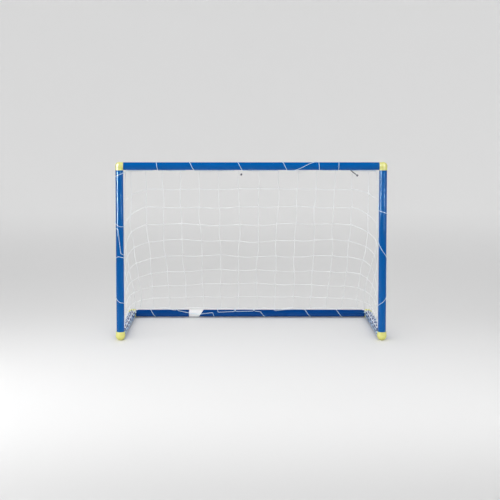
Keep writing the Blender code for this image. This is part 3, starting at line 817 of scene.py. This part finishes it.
def lacing(name, node, start, along, front, quarter, stations, edge):
    """Cord wound on a tube. Its distance along and angle about the tube run evenly between the stations and
    are then softened. It lies on the tube, and swings out to pass round the net's edge where it turns."""
    place, angle = np.array(stations, float).T
    leg = np.hypot(np.diff(place), np.radians(np.diff(angle)) * TUBE_RADIUS)
    total = np.concatenate([[0], np.cumsum(leg)])
    even = np.linspace(0, total[-1], int(total[-1] / 0.0012))
    rows = np.stack([np.interp(even, total, place), np.radians(np.interp(even, total, angle))], -1)
    rows = softened(rows, 5)
    turned = rows[:, 1]
    edge_angle, edge_reach = math.atan2(edge[1], edge[0]), math.hypot(*edge)
    apart = np.abs((turned - edge_angle + math.pi) % math.tau - math.pi)
    rate = np.abs(np.gradient(turned, even)) * TUBE_RADIUS
    swing = edge_reach + EDGE_STRING_RADIUS + CORD_RADIUS - TUBE_RADIUS - CORD_RADIUS
    swing = softened(swing * np.exp(-((apart / math.radians(24)) ** 2)) * np.clip(rate * 1.6 - 0.5, 0, 1), 7)
    on_label = 0.0
    if node == "lacing_rear_bar":
        label_gap = np.maximum(LABEL_LEFT - 0.004 - rows[:, 0], rows[:, 0] - LABEL_RIGHT_TOP - 0.004)
        on_label = softened(LABEL_LIFT * (label_gap < 0), 9)
    wave = 0.00025 * np.sin(even * 70) * np.clip(1 - rate, 0, 1)
    outward = np.cos(turned)[:, None] * front + np.sin(turned)[:, None] * quarter
    reach = TUBE_RADIUS + CORD_RADIUS + 0.00015 + swing + on_label + np.abs(wave)
    path = start + rows[:, :1] * along + outward * reach[:, None]
    path = passed_round(path, EDGE_STRING_RADIUS + CORD_RADIUS * 1.16 + 0.0002)
    skin = Skin()
    carried(skin, path, outward, CORD_RADIUS, 12, lobe=0.16)
    for end, inner in ((0, 4), (-1, -5)):
        lift = outward[end] * CORD_RADIUS * 2.15
        end_knot(skin, path[end] + lift, path[end] - path[inner], CORD_RADIUS)
    return stands_for(skin.piece(name, CORD), "cord_white", node)


left_post, right_post = np.array([-POST_X, FRONT_Y, 0]), np.array([POST_X, FRONT_Y, 0])
mirrored_edge = (EDGE_BY_POST[0], -EDGE_BY_POST[1])
crossbar, rear_bar = np.array([0, FRONT_Y, TOP_Z]), np.array([0, REAR_Y, GROUND_Z])
lacing("crossbar_cord", "lacing_crossbar", crossbar, RIGHT, -BACK, UP, CROSSBAR_LACING, EDGE_BY_CROSSBAR)
lacing("left_post_cord", "lacing_left_post", left_post, UP, -BACK, RIGHT, LEFT_POST_LACING, EDGE_BY_POST)
lacing("right_post_cord", "lacing_right_post", right_post, UP, -BACK, RIGHT, RIGHT_POST_LACING, mirrored_edge)
lacing("rear_cord", "lacing_rear_bar", rear_bar, RIGHT, -BACK, UP, REAR_LACING, EDGE_BY_REAR_BAR)
for label, side in (("left", -1), ("right", 1)):
    side_bar = np.array([side * POST_X, 0, GROUND_Z])
    node = f"lacing_{label}_side_bar"
    lacing(f"{label}_side_cord", node, side_bar, BACK, side * RIGHT, UP, side_lacing(), EDGE_BY_SIDE_BAR)


# ---------------------------------------------------------------- toggles
def toggle(name, node, eye, ball):
    """A ball on a stem that flares into it, turned from a profile of radius against length, with a round
    eye at the other end: a small circle carried round a big one."""
    eye, ball = np.array(eye), np.array(ball)
    run = unit(ball - eye)
    length = np.linalg.norm(ball - eye)
    eye_radius, wire, stem, ball_radius = 0.0034, 0.0013, 0.0022, 0.0046
    across = unit(np.cross(run, UP))
    other = np.cross(run, across)
    neck = math.asin((stem + 0.0003) / ball_radius)
    turn = np.linspace(math.pi - neck, 0.02, 26)
    shank = np.linspace(eye_radius + wire * 0.5, length - ball_radius * math.cos(neck) - 0.0004, 14)
    flare = stem + 0.0003 * ((shank - shank[0]) / (shank[-1] - shank[0])) ** 6
    flare[0] *= 0.6
    place = np.concatenate([shank, length + ball_radius * np.cos(turn)])
    reach = np.concatenate([flare, ball_radius * np.sin(turn)])
    angle = np.arange(28) / 28 * math.tau
    ring = np.cos(angle)[:, None] * across + np.sin(angle)[:, None] * other
    skin = Skin()
    turned = eye + place[:, None, None] * run + reach[:, None, None] * ring
    skin.grid(turned, place, angle / math.tau, caps=True)
    big, small = np.arange(40) / 40 * math.tau, np.arange(14) / 14 * math.tau
    spoke = np.cos(big)[:, None] * run + np.sin(big)[:, None] * across
    points = (
        eye
        + spoke[:, None] * (eye_radius + wire * np.cos(small))[None, :, None]
        - other * (wire * np.sin(small))[None, :, None]
    )
    skin.grid(points, big * eye_radius, small / math.tau, wrap_along=True)
    return stands_for(skin.piece(name, TOGGLE), "toggle_dark", node)


centre_eye, centre_ball = (-0.0443, FRONT_Y + 0.0270, 0.7366), (-0.0445, FRONT_Y - 0.0050, 0.7355)
right_eye, right_ball = (0.4420, FRONT_Y + 0.0240, 0.7500), (0.4660, FRONT_Y, 0.7310)
toggle("centre_toggle", "net_toggle_centre", centre_eye, centre_ball)
toggle("right_toggle", "net_toggle_right", right_eye, right_ball)


# ---------------------------------------------------------------- label
def label_wrap():
    """A blank band round the front of the rear tube, one end cut on the slant. Its skin is a sheet whose
    section (across the thickness) is a flat loop with rounded edges, slightly lifted at its two ends."""
    half_arc = math.radians(110)
    angle = np.linspace(half_arc, -half_arc, 61)
    share = (1 - np.sin(angle)) / 2
    right = LABEL_RIGHT_TOP + (LABEL_RIGHT_BOTTOM - LABEL_RIGHT_TOP) * share
    loop = np.concatenate([np.linspace(0, 1, 41), np.linspace(1, 0, 41)[1:-1]])
    face = np.concatenate([np.ones(41), -np.ones(39)])
    thick = 0.0003 * np.sqrt(np.clip(1 - (2 * loop - 1) ** 40, 0.0, 1)) * face
    x = LABEL_LEFT + (right[:, None] - LABEL_LEFT) * loop[None, :]
    ripple = 0.00022 * np.sin(x * 310 + 3 * np.sin(angle * 2)[:, None]) * np.abs(np.sin(angle * 1.5))[:, None]
    lifted = 0.0005 * np.abs(angle[:, None] / half_arc) ** 8
    radius = TUBE_RADIUS + 0.0006 + np.abs(ripple) + lifted + thick[None, :]
    points = np.stack(
        [x, REAR_Y - radius * np.cos(angle)[:, None], GROUND_Z + radius * np.sin(angle)[:, None]], -1
    )
    skin = Skin()
    skin.grid(points, angle / math.tau, loop * 0.07, caps=True)
    return stands_for(skin.piece("blank_label", LABEL), "label_white", "rear_label")


label_wrap()


# ---------------------------------------------------------------- floor and light
WALL_FOOT, WALL_CURVE, WALL_TOP = 6.0, 4.0, 9.0


def floor():
    """A wide round pale floor that curves up into a wall: rings of points at growing radii, flat to the
    foot of the wall and on a quarter circle beyond it."""
    radius = np.linspace(WALL_FOOT, 0, 30)
    turn = np.linspace(math.pi / 2, 0, 24)[:-1]
    rings = np.concatenate([[WALL_FOOT + WALL_CURVE], WALL_FOOT + WALL_CURVE * np.sin(turn), radius])
    height = np.concatenate([[WALL_TOP], WALL_CURVE * (1 - np.cos(turn)), np.zeros(30)]) - 0.0001
    angle = np.arange(96) / 96 * math.tau
    circle = np.stack([np.cos(angle), np.sin(angle), np.zeros(96)], -1)
    points = rings[:, None, None] * circle + height[:, None, None] * UP
    finish = Finish("floor", Roughness=0.7, Emission_Strength=1.0)
    place = finish.place()
    flat = finish.stretched(place, (1, 1, 0))
    # The floor's colour carries painted light and shade: a paler pool round a point just in front of the
    # goal, painted shade on the floor further in front, and a paler wall far off.
    centred = finish.node("ShaderNodeVectorMath", {"operation": "SUBTRACT"}, {0: flat, 1: (0, -0.84, 0)})
    narrowed = finish.stretched(centred, (0.6, 1, 1))
    away = finish.node("ShaderNodeVectorMath", {"operation": "LENGTH"}, {0: narrowed}, output=1)
    far = away.above(1.2, 7.0)
    # Painted shade: the floor darkens towards the front.
    painted_front_shade = finish.parts(place)[1].above(-1.05, -2.30)
    # Painted light: the floor and the wall grow paler far off.
    behind = finish.blend(far, (0.75, 0.75, 0.75, 1), (0.87, 0.87, 0.87, 1))
    outer = finish.blend(painted_front_shade, behind, (0.64, 0.64, 0.64, 1))
    # Painted pool of light: the floor is paler near the goal.
    finish.feed("Base Color", finish.blend(away.above(0.45, 1.45), (0.80, 0.80, 0.80, 1), outer))
    # Painted glow: the far wall gives off a little light of its own through the emission, though it is no
    # lamp.
    finish.feed("Emission Color", finish.blend(far, (0, 0, 0, 1), (0.10, 0.10, 0.10, 1)))
    skin = Skin()
    skin.grid(points, rings, angle / math.tau)
    skin.piece("floor", finish.material)


def soft_light(name, place, aim, size, power, lights, mirrors):
    """An area lamp, unseen itself, that lights what is matt, or is only mirrored in what is glossy."""
    lamp = bpy.data.lights.new(name, "AREA")
    lamp.shape = "RECTANGLE"
    lamp.size, lamp.size_y = size
    lamp.energy = power
    made = bpy.data.objects.new(name, lamp)
    made.rotation_mode = "QUATERNION"
    made.rotation_quaternion = (Vector(aim) - Vector(place)).to_track_quat("-Z", "Y")
    made.location = place
    made.visible_camera = False
    made.visible_diffuse = lights
    made.visible_glossy = mirrors
    bpy.context.scene.collection.objects.link(made)


def studio():
    """An even pale surround, wide soft boxes in front and overhead, and an upright strip on either side."""
    bpy.context.scene.view_settings.view_transform = "Standard"
    world = bpy.data.worlds.new("studio")
    world.use_nodes = True
    world.node_tree.nodes["Background"].inputs["Color"].default_value = (1, 1, 1, 1)
    world.node_tree.nodes["Background"].inputs["Strength"].default_value = 0.75
    world.cycles_visibility.glossy = False
    bpy.context.scene.world = world
    soft_light("front box", (-0.3, -2.3, 2.7), (0.1, -0.4, 0.3), (2.6, 1.6), 31, True, False)
    soft_light("overhead", (0.0, -0.6, 3.4), (0, -0.5, 0), (2.6, 2.6), 18, True, False)
    soft_light("left strip", (-1.56, -0.97, 1.25), (0, -0.26, 0.7), (0.40, 2.0), 240, False, True)
    soft_light("right strip", (1.15, -1.36, 1.25), (0, -0.26, 0.7), (0.07, 2.0), 75, False, True)


floor()
studio()
